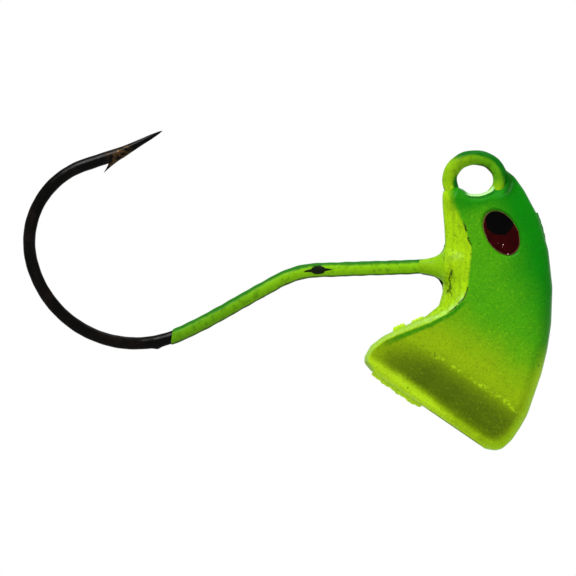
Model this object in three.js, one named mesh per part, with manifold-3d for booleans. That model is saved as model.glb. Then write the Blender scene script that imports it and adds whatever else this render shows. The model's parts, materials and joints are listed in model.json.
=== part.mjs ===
// Fishing jig head: a bent-wire hook cast into a wedge-shaped lead head, powder-painted, with two
// inset eyes. Millimetres. The origin is the centre of the line-tie ring, +X points to the front of
// the head and +Z points up out of the ring. The wire and the head are both centred on the XZ plane.

import * as THREE from 'three';
import { mergeVertices } from 'three/addons/utils/BufferGeometryUtils.js';
import Module from 'manifold-3d';

// Fits
const GAP = 0.04; // clearance between neighbouring pieces
const PAINT = 0.1; // paint film on the lead
const WIRE_PAINT = 0.05; // paint film on the wire

// Hook wire. The ring is an ellipse; angles go anticlockwise from +X, seen with +X to the right.
const WIRE_R = 0.5;
const WIRE_SIDES = 10;
const RING_RX = 2.03;
const RING_RZ = 1.8;
const RING_END = -98; // the cut end of the wire, inside the lead
const RING_PAINT_FROM = 21; // where the ring comes out of the lead, in front
const RING_PAINT_TO = 197; // where it goes back in, at the rear
const NECK_X = -1.55;
const SHANK_Z = -5.39; // centre of the bend from neck to shank
const SHANK_BEND_R = 1.5;
const SHANK_HEADING = 181.9;
const ARC_STEP = 11; // degrees of bend in one straight facet of the wire

// The painted shank and the bare bend, as a wire bender would list them: a straight run in mm, then a
// turn in degrees (left is positive) at a radius in mm.
const SHANK_IN_HEAD = [{ run: 1.5, turn: 0, radius: 1 }];
const SHANK = [
  { run: 7.95, turn: 27.4, radius: 7.6 },
  { run: 5.9, turn: -6.3, radius: 27.4 },
  { run: 0, turn: -4.4, radius: 8.6 },
];
const BEND = [
  { run: 0, turn: -95, radius: 8.6 },
  { run: 0, turn: -85.2, radius: 6.5 },
  { run: 3, turn: 0, radius: 1 },
];

// Point and barb. Barb corners are [along the point from its root, below its centre line].
const POINT_LENGTH = 3.8;
const POINT_HEADING = 28;
const POINT_TIP_R = 0.03;
const BARB = [[-1.3, 0], [-1.25, 0.4], [-1.82, 0.95], [-0.75, 0.65], [-0.1, 0.45], [0.1, 0.1]];
const BARB_HALF = 0.22;

// Head outline: matching points down the rear edge and down the front edge, from the ring to the foot
const REAR_EDGE = [
  [-2.55, -0.9], [-2.62, -1.35], [-2.6, -2.1], [-2.45, -3.9], [-2.4, -5.6], [-2.52, -7.4],
  [-2.6, -9.0], [-2.9, -10.05], [-3.95, -10.9], [-6.05, -11.85], [-7.35, -12.48], [-8.35, -13.25],
  [-8.86, -14.15], [-8.85, -14.65], [-8.35, -15.25],
];
const FRONT_EDGE = [
  [2.45, 0.8], [3.15, 0.28], [3.95, -0.85], [5.1, -3.0], [5.87, -5.6], [6.2, -8.6],
  [6.1, -11.5], [5.8, -13.5], [5.35, -15.4], [4.2, -18.75], [3.65, -19.75], [2.95, -20.8],
  [2.2, -21.5], [1.6, -21.66], [0.8, -21.5],
];
const ROWS_PER_SPAN = 2;
const TOP_REAR = new THREE.Vector2(-2.55, -0.9);
const TOP_UP = new THREE.Vector2(-0.322, 0.947); // square to the top edge
const TOP_DRAW = 1.2; // how far an inset reaches in from the top edge
const FOOT_DRAW = 1.6; // and from the foot

// Half-thickness of the head, against the distance up from the flat foot
const FOOT_AXIS = new THREE.Vector2(0.826, -0.564); // along the foot, towards the front
const FOOT_UP = new THREE.Vector2(0.564, 0.826); // square to it, towards the ring
const FOOT_REAR = new THREE.Vector2(-8.3, -15.35);
const RIM = { up: 0.45, half: 1.7, edge: 1.3 };
const CREST = { up: 3.8, half: 2.6 };
const TAPER = 0.11; // thickness lost per mm from the crest to the ring
const SCOOP = [[0.45, 0], [1.35, 0.8], [2.5, 0.42], [3.8, 0]]; // [height above the foot, depth]
const SCOOP_ALONG = [[0.6, 0], [4, 1], [11, 1], [12.3, 0.2]]; // [distance along the foot, share]

// Rear bevel: [distance down from the ring, width]; and the round front edge
const BEVEL = [[0, 0.6], [2, 1.1], [5.6, 2.1], [9.2, 1.9], [11, 0.7], [14.5, 0.5]];
const LAND = 0.5; // half-width of the rear edge
const COLLAR = 0.45; // extra half-width of that edge where the shank leaves
const FRONT_ROUND = 1.3;
const FRONT_NOSE = 0.35; // half-thickness left at the front edge, as a share
const TOP_ROUND = 1.0; // the same for the shoulders beside the ring
const TOP_NOSE = 0.45;

// Cove where the shank leaves the head: an elliptical fillet from the rear edge onto the wire
const COVE_START = -2.5;
const COVE_END = -4.5;
const COVE_RISE = 0.9;
const COVE_SEGMENTS = 14;

// Hole through the ring, and the eye sockets
const HOLE_RX = 1.42;
const HOLE_RZ = 1.18;
const EYE = { x: 2.08, z: -4.24, major: 2.0, minor: 1.32, lean: 31, sunk: 0.2, thick: 0.24 };
const PUPIL = { x: 1.94, z: -3.26, r: 1.18 };

const COLOURS = {
  steel: 0x1c1815, lead: 0x8a8d90, green: 0x54a800, chartreuse: 0xa8cc0a, red: 0x3a0206, black: 0x060606,
};

const wasm = await Module();
wasm.setup();

// ---- joining and cutting ----

function solid(geometry) {
  const bare = geometry.clone();
  bare.deleteAttribute('normal');
  bare.deleteAttribute('uv');
  const merged = mergeVertices(bare, 1e-5);
  return new wasm.Manifold(new wasm.Mesh({
    numProp: 3,
    vertProperties: new Float32Array(merged.attributes.position.array),
    triVerts: new Uint32Array(merged.index.array),
  }));
}

function geometryOf(manifold) {
  const mesh = manifold.getMesh();
  const geometry = new THREE.BufferGeometry();
  geometry.setAttribute('position', new THREE.BufferAttribute(new Float32Array(mesh.vertProperties), 3));
  geometry.setIndex(new THREE.BufferAttribute(new Uint32Array(mesh.triVerts), 1));
  return geometry;
}

function named(name, shape, colour, roughness, metalness) {
  const geometry = shape instanceof THREE.BufferGeometry ? shape : geometryOf(shape);
  geometry.computeVertexNormals();
  const material = new THREE.MeshStandardMaterial({ color: colour, roughness, metalness });
  const mesh = new THREE.Mesh(geometry, material);
  mesh.name = name;
  return mesh;
}

// ---- small maths ----

function graph(table, x) {
  if (x <= table[0][0]) return table[0][1];
  for (let i = 1; i < table.length; i += 1) {
    const [x0, y0] = table[i - 1];
    const [x1, y1] = table[i];
    if (x <= x1) return y0 + ((y1 - y0) * (x - x0)) / (x1 - x0);
  }
  return table[table.length - 1][1];
}

function headingVector(degrees) {
  const angle = THREE.MathUtils.degToRad(degrees);
  return new THREE.Vector3(Math.cos(angle), 0, Math.sin(angle));
}

// ---- the wire ----

// A station is a point on the wire's centre line and the heading there.
function ringStations(from, to) {
  const steps = Math.round((to - from) / 15);
  const stations = [];
  for (let i = 0; i <= steps; i += 1) {
    const angle = THREE.MathUtils.degToRad(from + ((to - from) * i) / steps);
    const point = new THREE.Vector3(RING_RX * Math.cos(angle), 0, RING_RZ * Math.sin(angle));
    const heading = Math.atan2(RING_RZ * Math.cos(angle), -RING_RX * Math.sin(angle));
    stations.push({ point, heading: THREE.MathUtils.radToDeg(heading) });
  }
  return stations;
}

function bentStations(start, bends) {
  const stations = [start];
  let { point, heading } = start;
  const forward = (length, direction) => {
    point = point.clone().addScaledVector(headingVector(direction), length);
    stations.push({ point, heading });
  };
  for (const { run, turn, radius } of bends) {
    if (run > 0) forward(run, heading);
    const steps = Math.ceil(Math.abs(turn) / ARC_STEP);
    for (let i = 0; i < steps; i += 1) {
      const step = turn / steps;
      const chord = 2 * radius * Math.sin(THREE.MathUtils.degToRad(Math.abs(step)) / 2);
      heading += step;
      forward(chord, heading - step / 2);
    }
  }
  return stations;
}

// The neck leaves the ring, straightens to run down inside the lead, then turns into the shank.
function neckStations(start) {
  const lean = (start.heading + 360 - 270) % 360;
  const radius = (NECK_X - start.point.x) / (1 - Math.cos(THREE.MathUtils.degToRad(lean)));
  const drop = radius * Math.sin(THREE.MathUtils.degToRad(lean));
  const shankTurn = SHANK_HEADING - 270;
  return bentStations({ point: start.point, heading: 270 + lean }, [
    { run: 0, turn: -lean, radius },
    { run: start.point.z - drop - SHANK_Z, turn: shankTurn, radius: SHANK_BEND_R },
  ]);
}

class BentWire extends THREE.Curve {
  constructor(stations) {
    super();
    this.stations = stations;
  }

  getPoint(t, target = new THREE.Vector3()) {
    const last = this.stations.length - 1;
    const i = Math.min(Math.floor(t * last + 1e-9), last - 1);
    const a = this.stations[i].point;
    const b = this.stations[i + 1].point;
    return target.copy(a).lerp(b, THREE.MathUtils.clamp(t * last - i, 0, 1));
  }

  getPointAt(u, target) {
    return this.getPoint(u, target);
  }

  getTangentAt(u, target = new THREE.Vector3()) {
    const last = this.stations.length - 1;
    return target.copy(headingVector(this.stations[Math.round(u * last)].heading));
  }
}

function tube(stations, radius, boreRadius = 0) {
  const section = new THREE.Shape().absarc(0, 0, radius, 0, 2 * Math.PI);
  if (boreRadius > 0) {
    section.holes.push(new THREE.Path().absarc(0, 0, boreRadius, 0, 2 * Math.PI));
  }
  return new THREE.ExtrudeGeometry(section, {
    steps: stations.length - 1,
    curveSegments: WIRE_SIDES / 2,
    extrudePath: new BentWire(stations),
  });
}

function extended(stations, length) {
  const first = stations[0];
  const last = stations[stations.length - 1];
  const before = first.point.clone().addScaledVector(headingVector(first.heading), -length);
  const after = last.point.clone().addScaledVector(headingVector(last.heading), length);
  return [{ point: before, heading: first.heading }, ...stations,
    { point: after, heading: last.heading }];
}

const ringInLead = ringStations(RING_END, RING_PAINT_FROM);
const ringAbove = ringStations(RING_PAINT_FROM, RING_PAINT_TO);
const neck = neckStations(ringAbove[ringAbove.length - 1]);
const shankInHead = bentStations(neck[neck.length - 1], SHANK_IN_HEAD);
const shank = bentStations(shankInHead[shankInHead.length - 1], SHANK);
const bend = bentStations(shank[shank.length - 1], BEND);
const wireInHead = [...ringInLead, ...ringAbove.slice(1), ...neck.slice(1), ...shankInHead.slice(1)];
const wire = [...wireInHead, ...shank.slice(1), ...bend.slice(1)];

function point(root) {
  const along = headingVector(POINT_HEADING);
  const cone = new THREE.CylinderGeometry(POINT_TIP_R, WIRE_R, POINT_LENGTH, WIRE_SIDES);
  cone.applyQuaternion(new THREE.Quaternion().setFromUnitVectors(new THREE.Vector3(0, 1, 0), along));
  const middle = root.clone().addScaledVector(along, POINT_LENGTH / 2 - 0.02);
  return cone.translate(middle.x, middle.y, middle.z);
}

function barb(root) {
  const outline = new THREE.Shape(BARB.map(([a, b]) => new THREE.Vector2(a, -b)));
  const fang = new THREE.ExtrudeGeometry(outline, { depth: 2 * BARB_HALF, bevelEnabled: false });
  fang.translate(0, 0, -BARB_HALF);
  fang.rotateX(Math.PI / 2);
  fang.rotateY(-THREE.MathUtils.degToRad(POINT_HEADING));
  return fang.translate(root.x, root.y, root.z);
}

function hook() {
  const root = bend[bend.length - 1].point;
  return solid(tube(wire, WIRE_R)).add(solid(point(root))).add(solid(barb(root)));
}

// ---- the head ----

// The share of the thickness left near a rounded edge: a quarter ellipse that ends in a blunt nose
function roundedEdge(distance, width, nose) {
  const left = THREE.MathUtils.clamp(1 - distance / width, 0, 1);
  return Math.sqrt(1 - (1 - nose ** 2) * left ** 2);
}

function halfThickness(at, fromRear, fromFront) {
  const offset = at.clone().sub(FOOT_REAR);
  const up = offset.dot(FOOT_UP);
  const along = offset.dot(FOOT_AXIS);
  let half = CREST.half - TAPER * (up - CREST.up);
  if (up < CREST.up) {
    half = graph([[0, RIM.edge], [RIM.up, RIM.half], [CREST.up, CREST.half]], up);
    half -= graph(SCOOP, up) * graph(SCOOP_ALONG, along);
  }
  const bevelWidth = graph(BEVEL, -at.y);
  const land = LAND + COLLAR * Math.exp(-(((at.y + 7) / 1.3) ** 2));
  if (fromRear < bevelWidth) half = land + ((half - land) * fromRear) / bevelWidth;
  half *= roundedEdge(fromFront, FRONT_ROUND, FRONT_NOSE);
  return half * roundedEdge(-at.clone().sub(TOP_REAR).dot(TOP_UP), TOP_ROUND, TOP_NOSE);
}

// Places of the mesh columns across one section: distances from the rear edge, in mm
function columns(width, bevelWidth) {
  const plateau = width - FRONT_ROUND - bevelWidth;
  const across = [0, 0.5, 1].map((share) => bevelWidth + plateau * share);
  const round = [0.55, 0.85, 1].map((share) => width - FRONT_ROUND * (1 - share));
  return [0, 0.5 * bevelWidth, ...across, ...round];
}

function edgeCurve(points) {
  return new THREE.CatmullRomCurve3(points.map(([x, z]) => new THREE.Vector3(x, z, 0)), false, 'centripetal');
}

// An inset surface also draws in from the foot and from the top, and less and less away from them
function drawnIn(at, inset) {
  const up = at.clone().sub(FOOT_REAR).dot(FOOT_UP);
  const down = -at.clone().sub(TOP_REAR).dot(TOP_UP);
  const lift = inset * Math.max(0, 1 - up / FOOT_DRAW);
  const drop = inset * Math.max(0, 1 - down / TOP_DRAW);
  return at.clone().addScaledVector(FOOT_UP, lift).addScaledVector(TOP_UP, -drop);
}

function row(rear, front, inset) {
  const span = front.clone().sub(rear);
  const width = span.length();
  const direction = span.normalize();
  const places = columns(width, graph(BEVEL, -rear.y));
  return places.map((place, i) => {
    const at = rear.clone().addScaledVector(direction, place);
    const half = halfThickness(at, place, width - place) - inset;
    let shift = 0;
    if (i === 0) shift = inset;
    if (i === places.length - 1) shift = -inset;
    const moved = drawnIn(at, inset).addScaledVector(direction, shift);
    return new THREE.Vector3(moved.x, half, moved.y);
  });
}

// The wedge: rows of points from the ring to the foot, mirrored in the XZ plane and closed at both ends
function wedge(inset) {
  const rearCurve = edgeCurve(REAR_EDGE);
  const frontCurve = edgeCurve(FRONT_EDGE);
  const rows = (REAR_EDGE.length - 1) * ROWS_PER_SPAN;
  const positions = [];
  let ringSize = 0;
  for (let i = 0; i <= rows; i += 1) {
    const rear3 = rearCurve.getPoint(i / rows);
    const front3 = frontCurve.getPoint(i / rows);
    const rear = new THREE.Vector2(rear3.x, rear3.y);
    const front = new THREE.Vector2(front3.x, front3.y);
    const points = row(rear, front, inset);
    const ring = [...points, ...points.map((p) => new THREE.Vector3(p.x, -p.y, p.z)).reverse()];
    ringSize = ring.length;
    ring.forEach((p) => positions.push(p.x, p.y, p.z));
  }
  return closedLoft(positions, rows, ringSize);
}

function closedLoft(positions, rows, ringSize) {
  const index = [];
  const quad = (a, b, c, d) => index.push(a, b, c, a, c, d);
  for (let i = 0; i < rows; i += 1) {
    for (let j = 0; j < ringSize; j += 1) {
      const next = (j + 1) % ringSize;
      const here = i * ringSize;
      const below = here + ringSize;
      quad(here + j, here + next, below + next, below + j);
    }
  }
  const foot = rows * ringSize;
  for (let j = 0; j < ringSize / 2 - 1; j += 1) {
    const mirror = ringSize - 1 - j;
    quad(j + 1, j, mirror, mirror - 1);
    quad(foot + j, foot + j + 1, foot + mirror - 1, foot + mirror);
  }
  const geometry = new THREE.BufferGeometry();
  geometry.setAttribute('position', new THREE.Float32BufferAttribute(positions, 3));
  geometry.setIndex(index);
  return geometry;
}

function cove(inset, end) {
  const wireOuter = WIRE_R + GAP + WIRE_PAINT + 0.03;
  const profile = [new THREE.Vector2(0, -1), new THREE.Vector2(wireOuter + COVE_RISE - inset, 0)];
  const steps = 5;
  for (let i = 1; i <= steps; i += 1) {
    const x = COVE_START + ((end - COVE_START) * i) / steps;
    const share = (x - COVE_END) / (COVE_START - COVE_END);
    const radius = wireOuter + COVE_RISE * (1 - Math.sqrt(1 - share ** 2)) - inset;
    profile.push(new THREE.Vector2(radius, COVE_START - x));
  }
  profile.push(new THREE.Vector2(0, COVE_START - end));
  const turned = new THREE.LatheGeometry(profile, COVE_SEGMENTS);
  turned.rotateZ(Math.PI / 2);
  turned.rotateY(-THREE.MathUtils.degToRad(SHANK_HEADING - 180));
  const start = shankInHead[0].point;
  return turned.translate(COVE_START, 0, start.z);
}

function ringHole(inset) {
  const outline = new THREE.Shape();
  outline.absellipse(0, 0, HOLE_RX + inset, HOLE_RZ + inset, 0, 2 * Math.PI, false, 0);
  const plug = new THREE.ExtrudeGeometry(outline, { depth: 8, curveSegments: 12, bevelEnabled: false });
  return plug.translate(0, 0, -4).rotateX(Math.PI / 2);
}

function headSolid(inset, coveEnd) {
  return solid(wedge(inset)).add(solid(cove(inset, coveEnd))).subtract(solid(ringHole(inset)));
}

// ---- the eyes ----

// side is +1 for the left (+Y) and -1 for the right (-Y)
function eyeFrame(side) {
  const centre = new THREE.Vector2(EYE.x, EYE.z);
  const up = centre.clone().sub(FOOT_REAR).dot(FOOT_UP);
  const half = CREST.half - TAPER * (up - CREST.up);
  const outward = new THREE.Vector3(TAPER * FOOT_UP.x, side, TAPER * FOOT_UP.y).normalize();
  const lean = THREE.MathUtils.degToRad(EYE.lean);
  const major = new THREE.Vector3(-Math.sin(lean), 0, Math.cos(lean));
  major.addScaledVector(outward, -major.dot(outward)).normalize();
  const minor = new THREE.Vector3().crossVectors(major, outward);
  return {
    centre: new THREE.Vector3(EYE.x, side * half, EYE.z),
    minor,
    major,
    outward,
    basis: new THREE.Matrix4().makeBasis(minor, major, outward),
  };
}

function eyeDisc(inset, bottom, top) {
  const outline = new THREE.Shape();
  outline.absellipse(0, 0, EYE.minor - inset, EYE.major - inset, 0, 2 * Math.PI, false, 0);
  const disc = new THREE.ExtrudeGeometry(outline, {
    depth: top - bottom, curveSegments: 10, bevelEnabled: false,
  });
  return disc.translate(0, 0, bottom);
}

function pupilDisc(side, inset) {
  const { centre, minor, major } = eyeFrame(side);
  const offset = new THREE.Vector3(PUPIL.x, centre.y, PUPIL.z).sub(centre);
  const disc = new THREE.CylinderGeometry(PUPIL.r - inset, PUPIL.r - inset, 2, 20);
  disc.rotateX(Math.PI / 2);
  return disc.translate(offset.dot(minor), offset.dot(major), 0);
}

function socket(side) {
  const { centre, basis } = eyeFrame(side);
  const pocket = eyeDisc(0, -EYE.sunk - EYE.thick - GAP, 2);
  pocket.applyMatrix4(basis);
  return solid(pocket.translate(centre.x, centre.y, centre.z));
}

function eyePieces(side, label) {
  const disc = solid(eyeDisc(GAP, -EYE.sunk - EYE.thick, -EYE.sunk));
  const field = disc.subtract(solid(pupilDisc(side, -GAP)));
  const spot = disc.intersect(solid(pupilDisc(side, 0)));
  const iris = named(`${label}_eye_iris`, field, COLOURS.red, 0.25, 0);
  const pupil = named(`${label}_eye_pupil`, spot, COLOURS.black, 0.25, 0);
  const { centre, basis } = eyeFrame(side);
  const eye = new THREE.Group();
  eye.add(iris, pupil);
  eye.position.copy(centre);
  eye.quaternion.setFromRotationMatrix(basis);
  return eye;
}

// ---- assembly ----

// The space that the wire takes in the lead and the paint
function wireChannel() {
  return solid(tube(extended(wireInHead, GAP), WIRE_R + GAP));
}

function leadHead() {
  const cast = headSolid(PAINT + GAP, COVE_END + 1);
  return cast.subtract(wireChannel()).subtract(socket(1)).subtract(socket(-1));
}

function headPaint() {
  const film = headSolid(0, COVE_END).subtract(headSolid(PAINT, COVE_END + 0.8));
  return film.subtract(wireChannel()).subtract(socket(1)).subtract(socket(-1));
}

const jig = new THREE.Group();
jig.add(named('hook', hook(), COLOURS.steel, 0.35, 0.9));
jig.add(named('lead_head', leadHead(), COLOURS.lead, 0.6, 0.8));
jig.add(named('head_paint', headPaint(), COLOURS.green, 0.35, 0));
const paintBore = WIRE_R + GAP - 0.01;
jig.add(named('ring_paint', tube(ringAbove, paintBore + WIRE_PAINT, paintBore), COLOURS.green, 0.35, 0));
jig.add(named('shank_paint', tube(shank, paintBore + WIRE_PAINT, paintBore), COLOURS.chartreuse, 0.35, 0));
jig.add(eyePieces(1, 'left'));
jig.add(eyePieces(-1, 'right'));

export default jig;
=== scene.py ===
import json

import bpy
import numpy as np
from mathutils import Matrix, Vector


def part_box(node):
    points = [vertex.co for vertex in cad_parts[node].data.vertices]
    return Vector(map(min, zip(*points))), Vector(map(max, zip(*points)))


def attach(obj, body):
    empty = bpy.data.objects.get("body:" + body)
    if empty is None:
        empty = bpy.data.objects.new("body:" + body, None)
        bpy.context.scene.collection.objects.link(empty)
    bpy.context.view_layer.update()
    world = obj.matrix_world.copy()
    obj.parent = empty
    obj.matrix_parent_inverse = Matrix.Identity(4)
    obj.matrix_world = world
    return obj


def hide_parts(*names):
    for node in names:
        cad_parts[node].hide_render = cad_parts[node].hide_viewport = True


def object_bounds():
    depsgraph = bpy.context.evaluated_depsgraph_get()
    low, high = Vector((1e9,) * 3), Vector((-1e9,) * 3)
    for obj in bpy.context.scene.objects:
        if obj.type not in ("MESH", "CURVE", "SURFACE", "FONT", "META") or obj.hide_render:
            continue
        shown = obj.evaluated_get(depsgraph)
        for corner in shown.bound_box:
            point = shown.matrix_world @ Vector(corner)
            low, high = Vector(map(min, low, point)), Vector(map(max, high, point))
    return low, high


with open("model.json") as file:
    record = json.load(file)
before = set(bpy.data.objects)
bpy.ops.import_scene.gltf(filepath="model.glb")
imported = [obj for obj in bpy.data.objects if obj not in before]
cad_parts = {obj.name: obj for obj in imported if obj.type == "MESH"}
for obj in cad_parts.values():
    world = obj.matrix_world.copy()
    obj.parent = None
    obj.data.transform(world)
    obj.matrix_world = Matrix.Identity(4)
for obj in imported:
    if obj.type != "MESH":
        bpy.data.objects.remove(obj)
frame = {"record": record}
cad_low, cad_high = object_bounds()

# %% [markdown]
# A jig head is a fishing hook whose shank is cast into a lead head, then powder-painted. The angler
# ties the line to the ring and slides a soft bait on the hook. The CAD frame holds its true solids.
# This lesson gives each of them a finer surface and a painted finish, in the same place.
#
# Every piece is worked out with numpy as one array of points. A sculpted mesh could look the same,
# but a formula can be read, measured and changed. Lengths are in millimetres until a mesh is made.
# The origin is the centre of the ring, +X is the front of the head, +Y its left and +Z is up.

MM = 0.001
rng = np.random.default_rng(7)


def box_text(low, high):
    """Two corners in metres as rounded millimetres."""
    return [round(value / MM, 2) for value in (*low, *high)]


print("CAD box in mm:", box_text(cad_low, cad_high))

# %% [markdown]
# The camera looks level and square at the head's right side. A short lens close by would show the
# nearest parts too large, so this one is long and stands almost half a metre away.

# %% Camera
VIEW_WIDTH = 46.08
VIEW_CENTRE = (-14.96, -8.64)
VIEW_DISTANCE = 450.0
SENSOR_WIDTH = 36.0

camera_data = bpy.data.cameras.new("camera")
camera_data.sensor_width = SENSOR_WIDTH
camera_data.lens = SENSOR_WIDTH * VIEW_DISTANCE / VIEW_WIDTH
camera_data.clip_start = 0.01
camera = bpy.data.objects.new("camera", camera_data)
camera.location = Vector((VIEW_CENTRE[0], -VIEW_DISTANCE, VIEW_CENTRE[1])) * MM
camera.rotation_euler = (np.pi / 2, 0, 0)
bpy.context.scene.collection.objects.link(camera)
bpy.context.scene.camera = camera
print("lens mm:", round(camera_data.lens, 1))

# %% [markdown]
# Outlines are drawn as a few points joined by straight lines. Real cast and bent metal has no sharp
# corners, so the points are spread evenly and averaged with a bell curve. A spline would do it too,
# but it swings wide between points, and an average never leaves the outline.

# %% Tools for lines
def curve_through(points, spacing, soften):
    """Points every spacing mm along a polyline, each the bell-weighted mean of its neighbours. The
    ends are kept by continuing the line past them, mirrored through the end point."""
    points = np.asarray(points, float)
    steps = np.hypot(*np.diff(points, axis=0).T)
    along = np.concatenate([[0], np.cumsum(steps)])
    count = int(along[-1] / spacing) + 2
    even = np.linspace(0, along[-1], count)
    dense = np.stack([np.interp(even, along, column) for column in points.T], axis=1)
    reach = int(3 * soften / spacing)
    weights = np.exp(-0.5 * (np.arange(-reach, reach + 1) * spacing / soften) ** 2)
    before = 2 * dense[0] - dense[reach:0:-1]
    after = 2 * dense[-1] - dense[-2:-reach - 2:-1]
    padded = np.concatenate([before, dense, after])
    smooth = [np.convolve(column, weights / weights.sum(), "valid") for column in padded.T]
    return np.stack(smooth, axis=1)


def in_plane(points):
    """A path in the XZ plane as 3-D points, with the unit normal to its left and the unit vector
    ahead at each point. Ahead is the change between neighbours; left is ahead turned by 90 degrees."""
    flat = np.zeros(len(points))
    centre = np.stack([points[:, 0], flat, points[:, 1]], axis=1)
    step = np.gradient(points, axis=0)
    step = step / np.hypot(*step.T)[:, None]
    side = np.stack([-step[:, 1], flat, step[:, 0]], axis=1)
    ahead = np.stack([step[:, 0], flat, step[:, 1]], axis=1)
    return centre, side, ahead


def closing(distance, width, power=3.0):
    """0 at distance 0 and 1 past width, steep at first: (1 - (1 - d/w)^p)^(1/p), a round edge."""
    left = 1 - np.clip(distance / width, 0, 1)
    return (1 - left ** power) ** (1 / power)


def smoothstep(values, low, high):
    """0 below low, 1 above high and between them the even S of 3t^2 - 2t^3."""
    share = np.clip((values - low) / (high - low), 0, 1)
    return share * share * (3 - 2 * share)


print("a 2 mm line at 0.5 mm has", len(curve_through([(0, 0), (2, 0)], 0.5, 0.5)), "points")

# %% [markdown]
# Wire, paint sleeves, eyes and flash are all tubes: rings of points joined by quads, with a fan of
# triangles to a pole at each end. A bevelled curve makes a tube in fewer lines, but its section
# can't change shape along the way, and it can't carry a number at each vertex for the paint to read.

# %% Tools for tubes
def tube_faces(rows, columns, first=0):
    """Faces of a tube of rings, numbered from first. The two poles come after the rings."""
    index = first + np.arange(rows * columns).reshape(rows, columns)
    beside = np.roll(index, -1, axis=1)
    quads = np.stack([index[:-1], beside[:-1], beside[1:], index[1:]], axis=-1).reshape(-1, 4)
    pole = np.full(columns, first + rows * columns)
    start = np.stack([pole, beside[0], index[0]], axis=-1)
    end = np.stack([pole + 1, index[-1], beside[-1]], axis=-1)
    return quads.tolist() + start.tolist() + end.tolist()


def tube_points(centre, side, rise, across):
    """Rings round a path: centre + rise * side + across * Y, with one row of rise and across for
    each station. The mean of the first ring and of the last are added as poles."""
    rings = centre[:, None] + side[:, None] * rise[..., None]
    rings = rings + np.array([0.0, 1.0, 0.0]) * across[..., None]
    return np.concatenate([rings.reshape(-1, 3), rings[[0, -1]].mean(axis=1)])


print("a tube of 3 rings of 4 has", len(tube_faces(3, 4)), "faces")

# %% [markdown]
# A finished piece is a mesh at the origin, so that its place is in its points and its finish can be
# laid out in the part's own space. It rides on the part's one body, and stands for the CAD node of
# the same thing. Numbers stored at the vertices, such as the distance to an edge, tell the finish
# where it is. A UV map could do that, but it would need one texture for each number.

# %% Tool for pieces
def piece(name, vertices, faces, finish, stands_for=(), fields=None):
    """A smooth mesh object that rides on the part. Its volume is the sum of a . (b x c) / 6 over
    the triangles; where that is negative the faces point inwards, and they are flipped."""
    mesh = bpy.data.meshes.new(name)
    mesh.from_pydata((vertices * MM).tolist(), [], faces)
    mesh.shade_smooth()
    for field, values in (fields or {}).items():
        attribute = mesh.attributes.new(field, "FLOAT", "POINT")
        attribute.data.foreach_set("value", np.ravel(values).astype(np.float32))
    mesh.calc_loop_triangles()
    corners = np.empty(3 * len(mesh.loop_triangles), np.int32)
    mesh.loop_triangles.foreach_get("vertices", corners)
    a, b, c = np.moveaxis(vertices[corners.reshape(-1, 3)], 1, 0)
    volume = np.einsum("ij,ij->", a, np.cross(b, c)) / 6
    if volume < 0:
        mesh.flip_normals()
    mesh.materials.append(finish)
    made = bpy.data.objects.new(name, mesh)
    bpy.context.scene.collection.objects.link(made)
    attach(made, "root")
    print(name, len(corners) // 3, "triangles,", round(abs(volume), 2), "mm3")
    print("  box in mm:", box_text(vertices.min(axis=0) * MM, vertices.max(axis=0) * MM))
    if stands_for:
        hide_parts(*stands_for)


# %% [markdown]
# Finishes are node trees. They could be wired by hand in the shader editor, but that is slow to
# read and to change. This small class keeps them short: each method adds one node and hands back
# its output. Patterns are laid out in millimetres of the object's own space.

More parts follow.
